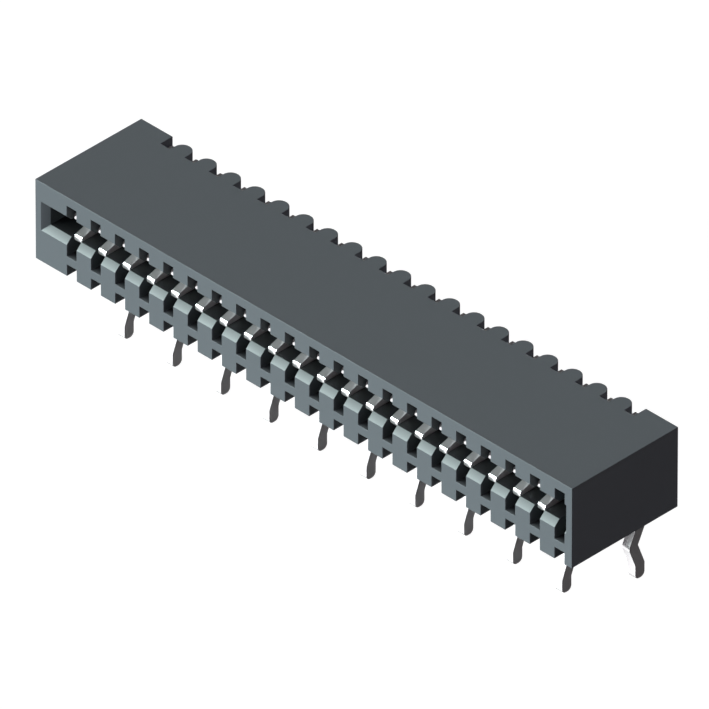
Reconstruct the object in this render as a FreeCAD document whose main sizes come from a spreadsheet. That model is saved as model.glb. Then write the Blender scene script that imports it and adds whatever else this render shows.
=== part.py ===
import FreeCAD, Part
import os
import re
import Sketcher

# A right-angle connector for a flat ribbon: one moulded housing with a row of stamped fork contacts.
# The frame stands on the board: z = 0 is the underside, x runs along the row and the ribbon goes in
# from the -y side. All sizes are in millimetres.

SIZES = {
    # The row
    "positions": (20, "number of contacts"),
    "pitch": (1.25, "from one contact to the next"),
    "row_gap": (2.5, "from the front row of tails to the rear row"),
    # The housing
    "housing_depth": (5.44, "front face to rear face"),
    "housing_height": (3.52, "underside to top face"),
    "end_wall": (0.54, "housing outside each end of the slot"),
    "roof_thickness": (0.395, "top wall above the contact cavities"),
    # The slot for the ribbon
    "ribbon_side_clearance": (0.17, "slot length over the ribbon's width"),
    "slot_height": (0.77, "slot at its narrowest"),
    "slot_level": (2.02, "middle of the slot above the underside"),
    "slot_reach": (3.5, "front face to the slot's end"),
    "slot_lead_in": (0.255, "bevel round the slot's mouth"),
    # The cavities
    "cavity_width": (0.5, "notch in which a contact's arms bend"),
    "cavity_reach": (3.9, "front face to the end of the cavity"),
    "bar_top": (0.875, "upper side of the front bar"),
    "groove_height": (0.515, "groove under the front bar"),
    "channel_clearance": (0.01, "between a contact and each side of its channel"),
    "rear_gap_width": (0.49, "gap between two ribs at the rear"),
    "rear_gap_depth": (0.635, "rear face to the wall between the ribs"),
    "rib_end_flat": (0.02, "flat left on a rib's rounded end"),
    # The arms of a contact
    "contact_thickness": (0.37, "sheet that the contact is stamped from"),
    "arm_setback": (0.325, "front face to the arm tips"),
    "arm_tip_height": (0.28, "arm's width at its tip"),
    "arm_tip_radius": (0.13, "rounding of an arm's tip"),
    "upper_tip_rise": (0.51, "middle of the upper tip above the slot's middle"),
    "lower_tip_drop": (0.452, "middle of the lower tip below the slot's middle"),
    "touch_reach": (1.05, "front face to where the arms touch the ribbon"),
    "touch_gap": (0.17, "opening between the arms there"),
    "touch_radius": (0.3, "rounding there"),
    "root_clearance": (0.1, "slot's end to the bottom of the fork"),
    "root_gap": (0.5, "opening at the arms' root, half of it below the slot's middle"),
    "root_radius": (0.2, "rounding of the fork's corners"),
    "roof_clearance": (0.135, "cavity's roof to the upper arm at its root"),
    "upper_root_width": (0.72, "upper arm's width at its root"),
    "lower_root_width": (0.4, "lower arm's width at its root"),
    # The base of a contact
    "prong_height": (0.25, "prong that sits on the front bar"),
    "prong_seat": (0.5, "length of the prong on the bar"),
    "foot_clearance": (0.115, "between the bar and the foot behind it"),
    "foot_level": (0.35, "lower edge of the foot above the underside"),
    "shoulder_drop": (0.3, "top face to the shoulder's top"),
    "shoulder_setback": (0.1, "rear face to the shoulder's rear edge"),
    # The tails
    "tail_width": (0.48, "tail along the depth of the housing"),
    "tail_wall_clearance": (0.195, "between the wall between the ribs and a rear tail"),
    "tail_length": (3.91, "underside to the tail's tip"),
    "tail_tip_radius": (0.2, "rounding of the tail's tip"),
    "kink_offset": (0.345, "sideways reach of the kink that grips the board"),
    "kink_start": (1.7, "underside to the start of the kink"),
    "kink_apex": (2.4, "underside to its furthest point"),
    "kink_end": (3.3, "underside to its end"),
    "kink_radius": (0.35, "rounding of its outer side"),
}

# Places worked out from the sizes, written as expressions
FRONT_FACE = "(-housing_depth / 2)"
REAR_FACE = "(housing_depth / 2)"
ROOF = "(housing_height - roof_thickness)"
RIBBON_WIDTH = "(pitch * (positions + 1))"
SLOT_LENGTH = f"({RIBBON_WIDTH} + ribbon_side_clearance)"
HOUSING_LENGTH = f"({SLOT_LENGTH} + 2 * end_wall)"
FIRST_CONTACT = "(-pitch * (positions - 1) / 2)"
CAVITY_END = f"({FRONT_FACE} + cavity_reach)"
GAP_WALL = f"({REAR_FACE} - rear_gap_depth)"
REAR_ROW = f"({GAP_WALL} + tail_wall_clearance + tail_width / 2)"
FRONT_ROW = f"({REAR_ROW} - row_gap)"
FOOT_FRONT = f"({FRONT_ROW} - tail_width / 2)"
BAR_BACK = f"({FOOT_FRONT} - foot_clearance)"
UPPER_ROOT = f"({ROOF} - roof_clearance - upper_root_width)"
LOWER_ROOT = "(slot_level - root_gap / 2)"
HALF_FORK = f"(({UPPER_ROOT} - {LOWER_ROOT}) / 2)"
RIB_WIDTH = "(pitch - rear_gap_width)"

doc = FreeCAD.newDocument("ribbon_connector")
sheet = doc.addObject("Spreadsheet::Sheet", "Sizes")
for row, (alias, (size, meaning)) in enumerate(SIZES.items(), start=1):
    sheet.set(f"A{row}", meaning)
    sheet.set(f"B{row}", str(size))
    sheet.setAlias(f"B{row}", alias)
doc.recompute()


def bound(expression):
    """The expression with each size read from the sheet."""
    return re.sub(r"[a-z_]+", r"Sizes.\g<0>", expression)


def value(expression):
    """The number that an expression on the sizes gives."""
    return float(sheet.evalExpression(bound(expression)))


def origin_plane(body, role):
    return next(plane for plane in body.Origin.OriginFeatures if plane.Role == role)


def outline(body, name, plane, corners, offset="0"):
    """A closed outline of straight sides on a plane of the body's origin.

    Each corner is a pair of expressions, and offset is how far the sketch lies along the plane's normal.
    """
    sketch = body.newObject("Sketcher::SketchObject", name)
    sketch.AttachmentSupport = [(origin_plane(body, plane), "")]
    sketch.MapMode = "FlatFace"
    sketch.setExpression("AttachmentOffset.Base.z", bound(offset))
    points = [FreeCAD.Vector(value(across), value(up), 0) for across, up in corners]
    for index, start in enumerate(points):
        end = points[(index + 1) % len(points)]
        sketch.addGeometry(Part.LineSegment(start, end))
    for index in range(len(points)):
        following = (index + 1) % len(points)
        sketch.addConstraint(Sketcher.Constraint("Coincident", index, 2, following, 1))
    for index, (point, (across, up)) in enumerate(zip(points, corners)):
        sideways = sketch.addConstraint(Sketcher.Constraint("DistanceX", -1, 1, index, 1, point.x))
        upwards = sketch.addConstraint(Sketcher.Constraint("DistanceY", -1, 1, index, 1, point.y))
        sketch.setExpression(f"Constraints[{sideways}]", bound(across))
        sketch.setExpression(f"Constraints[{upwards}]", bound(up))
    return sketch


def rectangle(left, right, bottom, top):
    return [(left, bottom), (right, bottom), (right, top), (left, top)]


def pocket(body, name, sketch, length, reverse=False):
    """A cut along the sketch's normal, against it unless reversed."""
    before = body.Shape.Volume
    cut = body.newObject("PartDesign::Pocket", name)
    cut.Profile = sketch
    cut.Reversed = reverse
    cut.setExpression("Length", bound(length))
    doc.recompute()
    if not cut.Shape.Volume < before:
        raise RuntimeError(f"{name} cuts nothing")
    return cut


def repeat(body, name, feature, count):
    """Copies of a feature along the row, one pitch apart."""
    pattern = body.newObject("PartDesign::LinearPattern", name)
    pattern.Originals = [feature]
    pattern.Direction = (origin_plane(body, "X_Axis"), [""])
    pattern.Mode = "Spacing"
    pattern.setExpression("Offset", bound("pitch"))
    pattern.setExpression("Occurrences", bound(count))
    body.Tip = pattern
    doc.recompute()
    return pattern


def near(position, wanted, reach=0.001):
    return abs(position - wanted) < reach


def edges_where(shape, test):
    """Names of the straight edges whose two ends both pass the test."""
    names = []
    for index, edge in enumerate(shape.Edges, start=1):
        ends = [vertex.Point for vertex in edge.Vertexes]
        if len(ends) == 2 and isinstance(edge.Curve, Part.Line) and all(test(end) for end in ends):
            names.append(f"Edge{index}")
    return names


def cross_edges(shape, corners):
    """Names of the edges along x that stand on the given corners of a y-z outline."""
    places = [(value(along), value(up)) for along, up in corners]

    def on_corner(point):
        return any(near(point.y, y) and near(point.z, z) for y, z in places)

    names = []
    for name in edges_where(shape, on_corner):
        first, last = shape.getElement(name).Vertexes
        if near(first.Y, last.Y) and near(first.Z, last.Z):
            names.append(name)
    return names


def rounding(body, name, edges, radius):
    base = body.Tip
    fillet = body.newObject("PartDesign::Fillet", name)
    fillet.Base = (base, edges)
    fillet.setExpression("Radius", bound(radius))
    doc.recompute()


def cut_slot(body):
    """The slot for the ribbon, with a bevel all round its mouth."""
    half_length = f"{SLOT_LENGTH} / 2"
    bottom = "slot_level - slot_height / 2"
    top = "slot_level + slot_height / 2"
    mouth = outline(body, "slot_outline", "XZ_Plane",
                    rectangle(f"-{half_length}", half_length, bottom, top), offset=REAR_FACE)
    pocket(body, "slot", mouth, "slot_reach")

    def on_mouth(point):
        inside = abs(point.x) < value(half_length) + 0.001
        level = near(point.z, value(bottom)) or near(point.z, value(top))
        return near(point.y, value(FRONT_FACE)) and inside and level

    base = body.Tip
    lead_in = body.newObject("PartDesign::Chamfer", "slot_bevel")
    lead_in.Base = (base, edges_where(base.Shape, on_mouth))
    lead_in.setExpression("Size", bound("slot_lead_in"))
    doc.recompute()


def cut_cavities(body):
    """The notches for the arms, one more than there are contacts, and the grooves under the bar."""
    left = f"{FIRST_CONTACT} - cavity_width / 2"
    right = f"{FIRST_CONTACT} + cavity_width / 2"
    notches = {
        "arm_cavity": rectangle(left, right, "bar_top", ROOF),
        "board_groove": rectangle(left, right, "0", "groove_height"),
    }
    for name, corners in notches.items():
        sketch = outline(body, f"{name}_outline", "XZ_Plane", corners, offset=REAR_FACE)
        cut = pocket(body, name, sketch, "cavity_reach")
        repeat(body, f"{name}_row", cut, "positions + 1")


def cut_rear(body):
    """Behind each contact's arms: a window for its foot, a channel that grips it and a gap at the rear."""
    half_channel = "(contact_thickness / 2 + channel_clearance)"
    stages = {
        "foot_window": ("cavity_width / 2", BAR_BACK, CAVITY_END, ROOF),
        "grip_channel": (half_channel, CAVITY_END, GAP_WALL, ROOF),
        "rear_gap": ("rear_gap_width / 2", GAP_WALL, REAR_FACE, "housing_height"),
    }
    for name, (half_width, front, back, height) in stages.items():
        left = f"{FIRST_CONTACT} - {half_width}"
        right = f"{FIRST_CONTACT} + {half_width}"
        sketch = outline(body, f"{name}_outline", "XY_Plane", rectangle(left, right, front, back))
        cut = pocket(body, name, sketch, height, reverse=True)
        repeat(body, f"{name}_row", cut, "positions")


def round_ribs(body):
    """The ribs between the rear gaps have rounded ends, and the outermost corners stay square."""
    rear = value(REAR_FACE)
    half_rib_row = value(f"-{FIRST_CONTACT} - rear_gap_width / 2") + 0.001

    def on_rib_end(point):
        return near(point.y, rear) and abs(point.x) < half_rib_row

    edges = []
    for name in edges_where(body.Shape, on_rib_end):
        first, last = body.Shape.getElement(name).Vertexes
        if near(first.X, last.X):
            edges.append(name)
    rounding(body, "rib_ends", edges, f"({RIB_WIDTH} - rib_end_flat) / 2")


def make_housing():
    body = doc.addObject("PartDesign::Body", "housing")
    body.Label = "housing"
    half_length = f"{HOUSING_LENGTH} / 2"
    block = body.newObject("PartDesign::Pad", "block")
    block.Profile = outline(body, "footprint", "XY_Plane",
                            rectangle(f"-{half_length}", half_length, FRONT_FACE, REAR_FACE))
    block.setExpression("Length", bound("housing_height"))
    doc.recompute()
    cut_slot(body)
    cut_cavities(body)
    cut_rear(body)
    round_ribs(body)
    return body


def tail_corners(row, kink):
    """A tail's outline from its front side at the foot round to its rear side.

    The kink goes towards +y where kink is 1 and towards -y where it is -1.
    """
    front = f"({row} - tail_width / 2)"
    back = f"({row} + tail_width / 2)"
    levels = ["-kink_start", "-kink_apex", "-kink_end", "-tail_length"]
    shifts = ["0", f"{kink} * kink_offset", "0", "0"]
    down = [(f"{front} + {shift}", level) for shift, level in zip(shifts, levels)]
    up = [(f"{back} + {shift}", level) for shift, level in zip(shifts, levels)]
    return down + up[::-1]


def arm_corners():
    """The fork: the outline of the two arms, from the top of the spine to the slit above the prong."""
    tip = f"({FRONT_FACE} + arm_setback)"
    tip_back = f"({tip} + arm_tip_height / 2)"
    touch = f"({FRONT_FACE} + touch_reach)"
    root = f"({FRONT_FACE} + slot_reach + root_clearance)"
    upper_tip = "(slot_level + upper_tip_rise)"
    lower_tip = "(slot_level - lower_tip_drop)"
    upper_root = UPPER_ROOT
    lower_root = LOWER_ROOT
    return {
        "spine_top": (root, ROOF),
        "upper_shoulder": (root, f"{upper_root} + upper_root_width"),
        "upper_tip_back": (tip_back, f"{upper_tip} + arm_tip_height / 2"),
        "upper_tip_top": (tip, f"{upper_tip} + arm_tip_height / 2"),
        "upper_tip_bottom": (tip, f"{upper_tip} - arm_tip_height / 2"),
        "upper_touch": (touch, "slot_level + touch_gap / 2"),
        "upper_root": (root, upper_root),
        "lower_root": (root, lower_root),
        "lower_touch": (touch, "slot_level - touch_gap / 2"),
        "lower_tip_top": (tip, f"{lower_tip} + arm_tip_height / 2"),
        "lower_tip_bottom": (tip, f"{lower_tip} - arm_tip_height / 2"),
        "lower_tip_back": (tip_back, f"{lower_tip} - arm_tip_height / 2"),
        "slit_top": (root, f"{lower_root} - lower_root_width"),
        "slit_bottom": (root, "bar_top + prong_height"),
    }


def make_contact(number, in_front_row):
    """One contact: a flat stamping that stands on edge, with its arms, prong, shoulder and tail."""
    body = doc.addObject("PartDesign::Body", f"contact_{number:02d}")
    body.Label = f"contact_{number:02d}"
    arms = arm_corners()
    tail = tail_corners(FRONT_ROW, 1) if in_front_row else tail_corners(REAR_ROW, -1)
    prong_front = f"({BAR_BACK} - prong_seat)"
    shoulder_top = "housing_height - shoulder_drop"
    shoulder_back = f"({REAR_FACE} - shoulder_setback)"
    tail_back = f"({REAR_ROW} + tail_width / 2)"
    prong = [(prong_front, "bar_top + prong_height"), (prong_front, "bar_top"), (FOOT_FRONT, "bar_top")]
    if in_front_row:
        foot = tail + [(f"{FRONT_ROW} + tail_width / 2", "foot_level"), (shoulder_back, "foot_level")]
    else:
        foot = [(FOOT_FRONT, "foot_level"), (f"{REAR_ROW} - tail_width / 2", "foot_level")]
        foot += tail + [(tail_back, "foot_level"), (shoulder_back, "bar_top")]
    shoulder = [(shoulder_back, shoulder_top), (GAP_WALL, shoulder_top), (GAP_WALL, ROOF)]
    corners = list(arms.values()) + prong + foot + shoulder

    blade = body.newObject("PartDesign::Pad", "blade")
    blade.Profile = outline(body, "profile", "YZ_Plane", corners)
    blade.SideType = "Symmetric"
    blade.setExpression("Length", bound("contact_thickness"))
    doc.recompute()

    tips = [arms[name] for name in ("upper_tip_top", "upper_tip_bottom", "lower_tip_top", "lower_tip_bottom")]
    touches = [arms["upper_touch"], arms["lower_touch"]]
    roots = [arms["upper_root"], arms["lower_root"]]
    outer_kink = tail[6] if in_front_row else tail[1]
    tail_tip = tail[3:5]
    roundings = {
        "arm_tips": (tips, "arm_tip_radius"),
        "touch_points": (touches, "touch_radius"),
        "fork_root": (roots, f"{HALF_FORK} > root_radius ? root_radius : 0.9 * {HALF_FORK}"),
        "kink": ([outer_kink], "kink_radius"),
        "tail_tip": (tail_tip, "tail_tip_radius"),
    }
    for name, (places, radius) in roundings.items():
        rounding(body, name, cross_edges(body.Shape, places), radius)
    body.setExpression("Placement.Base.x", bound(f"{FIRST_CONTACT} + {number - 1} * pitch"))
    return body


def check_and_export(bodies):
    doc.recompute()
    for thing in doc.Objects:
        if "Invalid" in thing.State or "Error" in thing.State:
            raise RuntimeError(f"{thing.Name} failed: {thing.State}")
    for body in bodies:
        if body.Shape.isNull() or not body.Shape.isValid() or len(body.Shape.Solids) != 1:
            raise RuntimeError(f"{body.Label} is not one valid solid")
    os.makedirs("parts", exist_ok=True)
    for body in bodies:
        body.Shape.exportStep(f"parts/{body.Label}.step")


housing = make_housing()
contacts = []
for number in range(1, int(value("positions")) + 1):
    contacts.append(make_contact(number, in_front_row=number % 2 == 1))
check_and_export([housing] + contacts)
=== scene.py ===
# A board connector for flat ribbon cable: slate grey moulded housing, tin-plated fork contacts.
# Lengths are in metres; names that end in _MM are in millimetres.
import math

import bpy
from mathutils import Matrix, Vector


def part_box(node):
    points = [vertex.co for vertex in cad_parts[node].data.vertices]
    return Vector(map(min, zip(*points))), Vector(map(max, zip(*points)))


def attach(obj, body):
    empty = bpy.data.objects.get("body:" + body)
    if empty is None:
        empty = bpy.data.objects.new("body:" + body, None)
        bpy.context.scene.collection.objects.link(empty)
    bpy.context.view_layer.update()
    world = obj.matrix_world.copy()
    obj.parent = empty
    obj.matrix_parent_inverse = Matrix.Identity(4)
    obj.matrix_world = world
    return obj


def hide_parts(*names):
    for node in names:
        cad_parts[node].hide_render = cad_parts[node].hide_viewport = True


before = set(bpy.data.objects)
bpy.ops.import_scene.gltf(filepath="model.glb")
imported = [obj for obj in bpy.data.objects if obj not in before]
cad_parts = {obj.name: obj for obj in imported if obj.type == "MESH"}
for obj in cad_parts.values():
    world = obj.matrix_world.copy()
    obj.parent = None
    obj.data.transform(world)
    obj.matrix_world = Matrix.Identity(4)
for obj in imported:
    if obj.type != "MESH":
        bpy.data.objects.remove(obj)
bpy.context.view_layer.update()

MM = 0.001
CONTACTS = sorted(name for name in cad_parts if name.startswith("contact_"))
HOUSING_LOW, HOUSING_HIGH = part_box("housing")
TAIL_TIPS = min(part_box(name)[0].z for name in CONTACTS)

# The camera: a long lens, so that the row's edges stay parallel
LENS_MM = 1700
SENSOR_MM = 36
VIEW_WIDTH = 25.689 * MM
VIEW_TARGET = Vector((0.518, -0.545, 1.735)) * MM
VIEW_FROM = Vector((1, -1, 1)).normalized()

# The studio
KEY_FROM = Vector((-0.47, -0.85, 0.235))
KEY_STRENGTH = 2.25
KEY_COLOUR = (0.88, 1.04, 1.0)
SHEEN_FROM = Vector((-0.577, -0.577, 0.577))
SHEEN_STRENGTH = 4.9
SHEEN_COLOUR = (0.8, 1.0, 0.94)
BACK_FROM = Vector((-0.45, 0.88, 0.05))
BACK_STRENGTH = 1.6
FILL_FROM = Vector((0.577, -0.577, 0.577))
FILL_STRENGTH = 0.32
FILL_COLOUR = (1.02, 0.87, 0.9)
AMBIENT = 0.045
AMBIENT_COLOUR = (1.08, 1.0, 1.02)
PANEL_FROM = Vector((-0.7, -0.7, -0.02))
PANEL_BRIGHT = 1.9
PANEL_DIM = 0.04
FLOOR_SIZE = 2.0
PAPER_COLOUR = (0.25, 0.25, 0.25)
PAPER_GLOW = 0.97

# The housing's finish: its skin, and the painted shade that it fades to inside the slot, the notches and down
# the lead-in bevels, lighter on sideways walls
SKIN_COLOUR = (0.17, 0.188, 0.216)
PAINTED_SHADE_COLOUR = (0.009, 0.01, 0.012)
PAINTED_SIDE_SHADE_COLOUR = (0.06, 0.073, 0.08)
SHADE_FADE_MM = 0.05
LEDGE_SHADE_FADE_MM = 0.09
BEVEL_SHADE_FADE_MM = 0.37
REAR_GAP_MM = 0.62
INNER_ROUGHNESS = 0.36
SKIN_ROUGHER = 0.36
BEVEL_SMOOTHER = 0.3
SPARK_TEXTURE_MM = 0.004

# The contacts' finish
TIN_COLOUR = (0.905, 0.89, 0.91)
DULL_TIN_COLOUR = (0.865, 0.85, 0.87)
TIN_METALLIC = 0.55
TIN_ROUGHNESS = 0.12
TIN_TEXTURE_MM = 0.002
PITCH_MM = 1.25

# The widths of the broken edges
HOUSING_EDGE = 0.012 * MM
CONTACT_EDGE = 0.008 * MM


class Signal:
    """A node's output that is worked with as a number."""

    def __init__(self, graph, socket):
        self.graph = graph
        self.socket = socket

    def __add__(self, other):
        return self.graph.maths("ADD", self, other)

    def __sub__(self, other):
        return self.graph.maths("SUBTRACT", self, other)

    def __rsub__(self, other):
        return self.graph.maths("SUBTRACT", other, self)

    def __mul__(self, other):
        return self.graph.maths("MULTIPLY", self, other)

    def __truediv__(self, other):
        return self.graph.maths("DIVIDE", self, other)

    __radd__ = __add__
    __rmul__ = __mul__


class Graph:
    """The shader nodes of a material or of the world."""

    def __init__(self, owner):
        owner.use_nodes = True
        self.tree = owner.node_tree
        self.tree.nodes.clear()

    def put(self, socket, value):
        if isinstance(value, Signal):
            self.tree.links.new(value.socket, socket)
        elif isinstance(value, tuple) and len(value) == 3 and socket.type == "RGBA":
            socket.default_value = (*value, 1)
        else:
            socket.default_value = value

    def node(self, kind, settings=None, inputs=None, output=0):
        """One node: its settings first, then its sockets by name or number. Gives one of its outputs."""
        made = self.tree.nodes.new(kind)
        for name, value in (settings or {}).items():
            setattr(made, name, value)
        for name, value in (inputs or {}).items():
            self.put(made.inputs[name], value)
        return Signal(self, made.outputs[output]) if made.outputs else made

    def maths(self, operation, *values):
        settings = {"operation": operation}
        return self.node("ShaderNodeMath", settings, dict(enumerate(values)))

    def clamped(self, value):
        settings = {"operation": "ADD", "use_clamp": True}
        return self.node("ShaderNodeMath", settings, {0: value, 1: 0.0})

    def mix_colours(self, factor, first, second):
        inputs = {0: factor, 6: first, 7: second}
        return self.node("ShaderNodeMix", {"data_type": "RGBA"}, inputs, output=2)

    def noise(self, coordinates, scale, detail=2.0, roughness=0.5):
        inputs = {"Vector": coordinates, "Scale": scale, "Detail": detail, "Roughness": roughness}
        return self.node("ShaderNodeTexNoise", None, inputs)

    def axes(self, vector):
        """The three numbers of a vector."""
        split = self.tree.nodes.new("ShaderNodeSeparateXYZ")
        self.put(split.inputs[0], vector)
        return [Signal(self, split.outputs[axis]) for axis in "XYZ"]

    def place_mm(self):
        """The point on the piece, in millimetres."""
        point = self.node("ShaderNodeTexCoord", output="Object")
        settings = {"operation": "SCALE"}
        return self.node("ShaderNodeVectorMath", settings, {0: point, "Scale": 1 / MM})

    def surface(self, **inputs):
        """The finished surface. An input's name has _ for its spaces."""
        sockets = {name.replace("_", " "): value for name, value in inputs.items()}
        shader = self.node("ShaderNodeBsdfPrincipled", None, sockets)
        self.node("ShaderNodeOutputMaterial", None, {"Surface": shader})


def depth_below_skin(graph, point):
    """Millimetres from a point of the housing to its nearest outer face, which sets how much shade is painted
    there. The rear gaps count as outside.
    """
    across, back, up = graph.axes(point)
    low, high = HOUSING_LOW / MM, HOUSING_HIGH / MM
    sides = graph.maths("MINIMUM", across - low.x, high.x - across)
    behind = graph.maths("MAXIMUM", high.y - back - REAR_GAP_MM, 0.0)
    ends = graph.maths("MINIMUM", back - low.y, behind)
    levels = graph.maths("MINIMUM", up - low.z, high.z - up)
    return graph.clamped(graph.maths("MINIMUM", graph.maths("MINIMUM", sides, ends), levels))


def moulded_plastic():
    """Slate grey plastic with a fine spark-eroded texture, with painted shade inside the slot, the notches
    and down the lead-in bevels.
    """
    material = bpy.data.materials.new("moulded_slate_plastic")
    graph = Graph(material)
    point = graph.place_mm()
    grain = graph.noise(point, 24.0, detail=3.0, roughness=0.6)
    cloud = graph.noise(point, 0.7)
    shade = 0.94 + 0.08 * cloud + 0.04 * grain
    skin = graph.mix_colours(shade, (0.0, 0.0, 0.0), SKIN_COLOUR)
    normal = graph.node("ShaderNodeTexCoord", output="Normal")
    sidewards, backwards, upwards = graph.axes(normal)
    facing_front = {"Value": backwards, "From Min": -0.35, "From Max": -0.65}
    forwards = graph.node("ShaderNodeMapRange", None, facing_front)
    bevelled = 2.0 * graph.maths("ABSOLUTE", backwards * upwards)
    # Painted shade: the colour fades from the skin to a near-black painted shade with depth below the outer
    # faces. Sideways walls get a lighter painted shade, and ledges and front bevels fade more slowly.
    painted_shade = graph.mix_colours(graph.maths("ABSOLUTE", sidewards), PAINTED_SHADE_COLOUR, PAINTED_SIDE_SHADE_COLOUR)
    shade_fade = SHADE_FADE_MM + LEDGE_SHADE_FADE_MM * graph.maths("MAXIMUM", upwards, 0.0) + BEVEL_SHADE_FADE_MM * forwards
    depth = depth_below_skin(graph, point)
    unshaded_share = graph.maths("EXPONENT", (0.0 - depth) / shade_fade)
    colour = graph.mix_colours(unshaded_share, painted_shade, skin)
    inner = INNER_ROUGHNESS + 0.08 * cloud + SKIN_ROUGHER * forwards * (1.0 - unshaded_share)
    outer = (SKIN_ROUGHER - BEVEL_SMOOTHER * bevelled) * unshaded_share
    texture = {"Strength": 0.12, "Distance": SPARK_TEXTURE_MM * MM, "Height": grain}
    relief = graph.node("ShaderNodeBump", None, texture)
    graph.surface(
        Base_Color=colour,
        Roughness=inner + outer,
        Specular_IOR_Level=0.5,
        Normal=relief,
    )
    return material


def tin_plate():
    """Bright, faintly mottled tin on stamped bronze, rougher along the middle of its cut edges."""
    material = bpy.data.materials.new("tin_plated_bronze")
    graph = Graph(material)
    point = graph.place_mm()
    across = graph.axes(point)[0]
    mottle = graph.noise(point, 9.0, detail=3.0)
    fine = graph.noise(point, 60.0)
    through = graph.maths("PINGPONG", across, PITCH_MM / 2)
    torn = graph.node(
        "ShaderNodeMapRange",
        {"interpolation_type": "SMOOTHSTEP"},
        {"Value": through, "From Min": 0.56, "From Max": 0.66},
    )
    texture = {"Strength": 0.06, "Distance": TIN_TEXTURE_MM * MM, "Height": fine}
    relief = graph.node("ShaderNodeBump", None, texture)
    graph.surface(
        Base_Color=graph.mix_colours(mottle, TIN_COLOUR, DULL_TIN_COLOUR),
        Metallic=TIN_METALLIC,
        Roughness=TIN_ROUGHNESS + 0.06 * mottle + 0.04 * torn,
        Normal=relief,
    )
    return material


def white_floor():
    """Pale floor that the camera sees as white, with a trace of the connector's shadow."""
    material = bpy.data.materials.new("pale_floor")
    graph = Graph(material)
    camera = graph.node("ShaderNodeLightPath", output="Is Camera Ray")
    paper = graph.node("ShaderNodeBsdfDiffuse", None, {"Color": PAPER_COLOUR})
    glow = graph.node("ShaderNodeEmission", None, {"Color": (1.0, 1.0, 1.0), "Strength": PAPER_GLOW * camera})
    seen = graph.node("ShaderNodeAddShader", None, {0: paper, 1: glow})
    graph.node("ShaderNodeOutputMaterial", None, {"Surface": seen})
    return material


def make_floor():
    bpy.ops.mesh.primitive_plane_add(size=FLOOR_SIZE, location=(0, 0, TAIL_TIPS))
    floor = bpy.context.object
    floor.name = "studio_floor"
    floor.data.materials.append(white_floor())
    floor.visible_glossy = False


def make_world():
    """White to the camera. The metal sees a studio: bright at the front left, dim behind on the right."""
    world = bpy.data.worlds.new("studio")
    bpy.context.scene.world = world
    graph = Graph(world)
    rays = {name: graph.node("ShaderNodeLightPath", output=f"Is {name} Ray")
            for name in ("Camera", "Glossy", "Transmission")}
    white = graph.clamped(rays["Camera"] + rays["Transmission"])
    direction = graph.node("ShaderNodeTexCoord", output="Generated")
    settings = {"operation": "DOT_PRODUCT"}
    inputs = {0: direction, 1: PANEL_FROM.normalized()}
    towards = graph.node("ShaderNodeVectorMath", settings, inputs, output="Value")
    panel = graph.node(
        "ShaderNodeMapRange",
        {"interpolation_type": "SMOOTHSTEP"},
        {"Value": towards, "From Min": 0.0, "From Max": 0.8, "To Min": PANEL_DIM, "To Max": PANEL_BRIGHT},
    )
    level = AMBIENT + rays["Glossy"] * (panel - AMBIENT)
    level = level + white * (1.0 - level)
    untinted = graph.clamped(white + rays["Glossy"])
    tint = graph.mix_colours(untinted, AMBIENT_COLOUR, (1.0, 1.0, 1.0))
    light = graph.node("ShaderNodeBackground", None, {"Color": tint, "Strength": level})
    graph.node("ShaderNodeOutputWorld", None, {"Surface": light})


def make_lamp(name, comes_from, strength, angle, colour=(1, 1, 1)):
    bpy.ops.object.light_add(type="SUN", location=comes_from * 0.3)
    lamp = bpy.context.object
    lamp.name = name
    lamp.data.energy = strength
    lamp.data.angle = math.radians(angle)
    lamp.data.color = colour
    lamp.rotation_mode = "QUATERNION"
    lamp.rotation_quaternion = comes_from.to_track_quat("Z", "Y")
    return lamp


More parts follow.
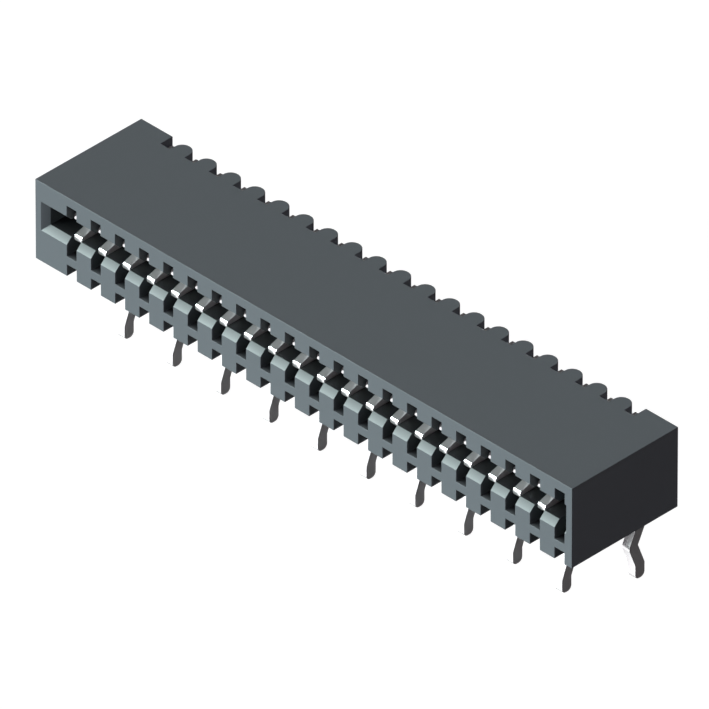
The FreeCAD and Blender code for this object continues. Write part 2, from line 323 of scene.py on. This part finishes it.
def make_camera():
    distance = VIEW_WIDTH * LENS_MM / SENSOR_MM
    bpy.ops.object.camera_add(location=VIEW_TARGET + VIEW_FROM * distance)
    camera = bpy.context.object
    camera.name = "photo_camera"
    camera.rotation_mode = "QUATERNION"
    camera.rotation_quaternion = (-VIEW_FROM).to_track_quat("-Z", "Y")
    camera.data.sensor_width = SENSOR_MM
    camera.data.lens = LENS_MM
    camera.data.clip_start = distance / 100
    camera.data.clip_end = distance * 3
    bpy.context.scene.camera = camera


def make_studio():
    make_world()
    make_floor()
    make_lamp("key_lamp", KEY_FROM, KEY_STRENGTH, 12, KEY_COLOUR)
    sheen = make_lamp("sheen_lamp", SHEEN_FROM, SHEEN_STRENGTH, 25, SHEEN_COLOUR)
    sheen.visible_diffuse = False
    make_lamp("back_lamp", BACK_FROM, BACK_STRENGTH, 20)
    make_lamp("fill_lamp", FILL_FROM, FILL_STRENGTH, 30, FILL_COLOUR)


def select_only(thing):
    bpy.ops.object.select_all(action="DESELECT")
    thing.select_set(True)
    bpy.context.view_layer.objects.active = thing


def dressed_copy(node, name, edge, material):
    """A copy of a node with its facets merged and its edges broken, which stands for the node."""
    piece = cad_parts[node].copy()
    piece.data = piece.data.copy()
    piece.name = name
    for key in list(piece.keys()):
        del piece[key]
    bpy.context.scene.collection.objects.link(piece)
    select_only(piece)
    bpy.ops.mesh.customdata_custom_splitnormals_clear()
    bpy.ops.object.mode_set(mode="EDIT")
    bpy.ops.mesh.select_all(action="SELECT")
    bpy.ops.mesh.remove_doubles(threshold=0.0005 * MM)
    bpy.ops.mesh.dissolve_limited(angle_limit=math.radians(0.5))
    bpy.ops.mesh.normals_make_consistent(inside=False)
    bpy.ops.object.mode_set(mode="OBJECT")
    bpy.ops.object.shade_smooth()
    bevel = piece.modifiers.new("broken_edges", "BEVEL")
    bevel.width = edge
    bevel.segments = 2
    bevel.limit_method = "ANGLE"
    bevel.angle_limit = math.radians(28)
    bevel.use_clamp_overlap = False
    bevel.harden_normals = True
    bpy.ops.object.modifier_apply(modifier=bevel.name)
    piece.data.materials.clear()
    piece.data.materials.append(material)
    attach(piece, "root")
    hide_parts(node)
    return piece


def make_connector():
    plastic = moulded_plastic()
    tin = tin_plate()
    dressed_copy("housing", "moulded_housing", HOUSING_EDGE, plastic)
    for node in CONTACTS:
        dressed_copy(node, f"plated_{node}", CONTACT_EDGE, tin)


bpy.context.scene.view_settings.view_transform = "Standard"
make_camera()
make_studio()
make_connector()
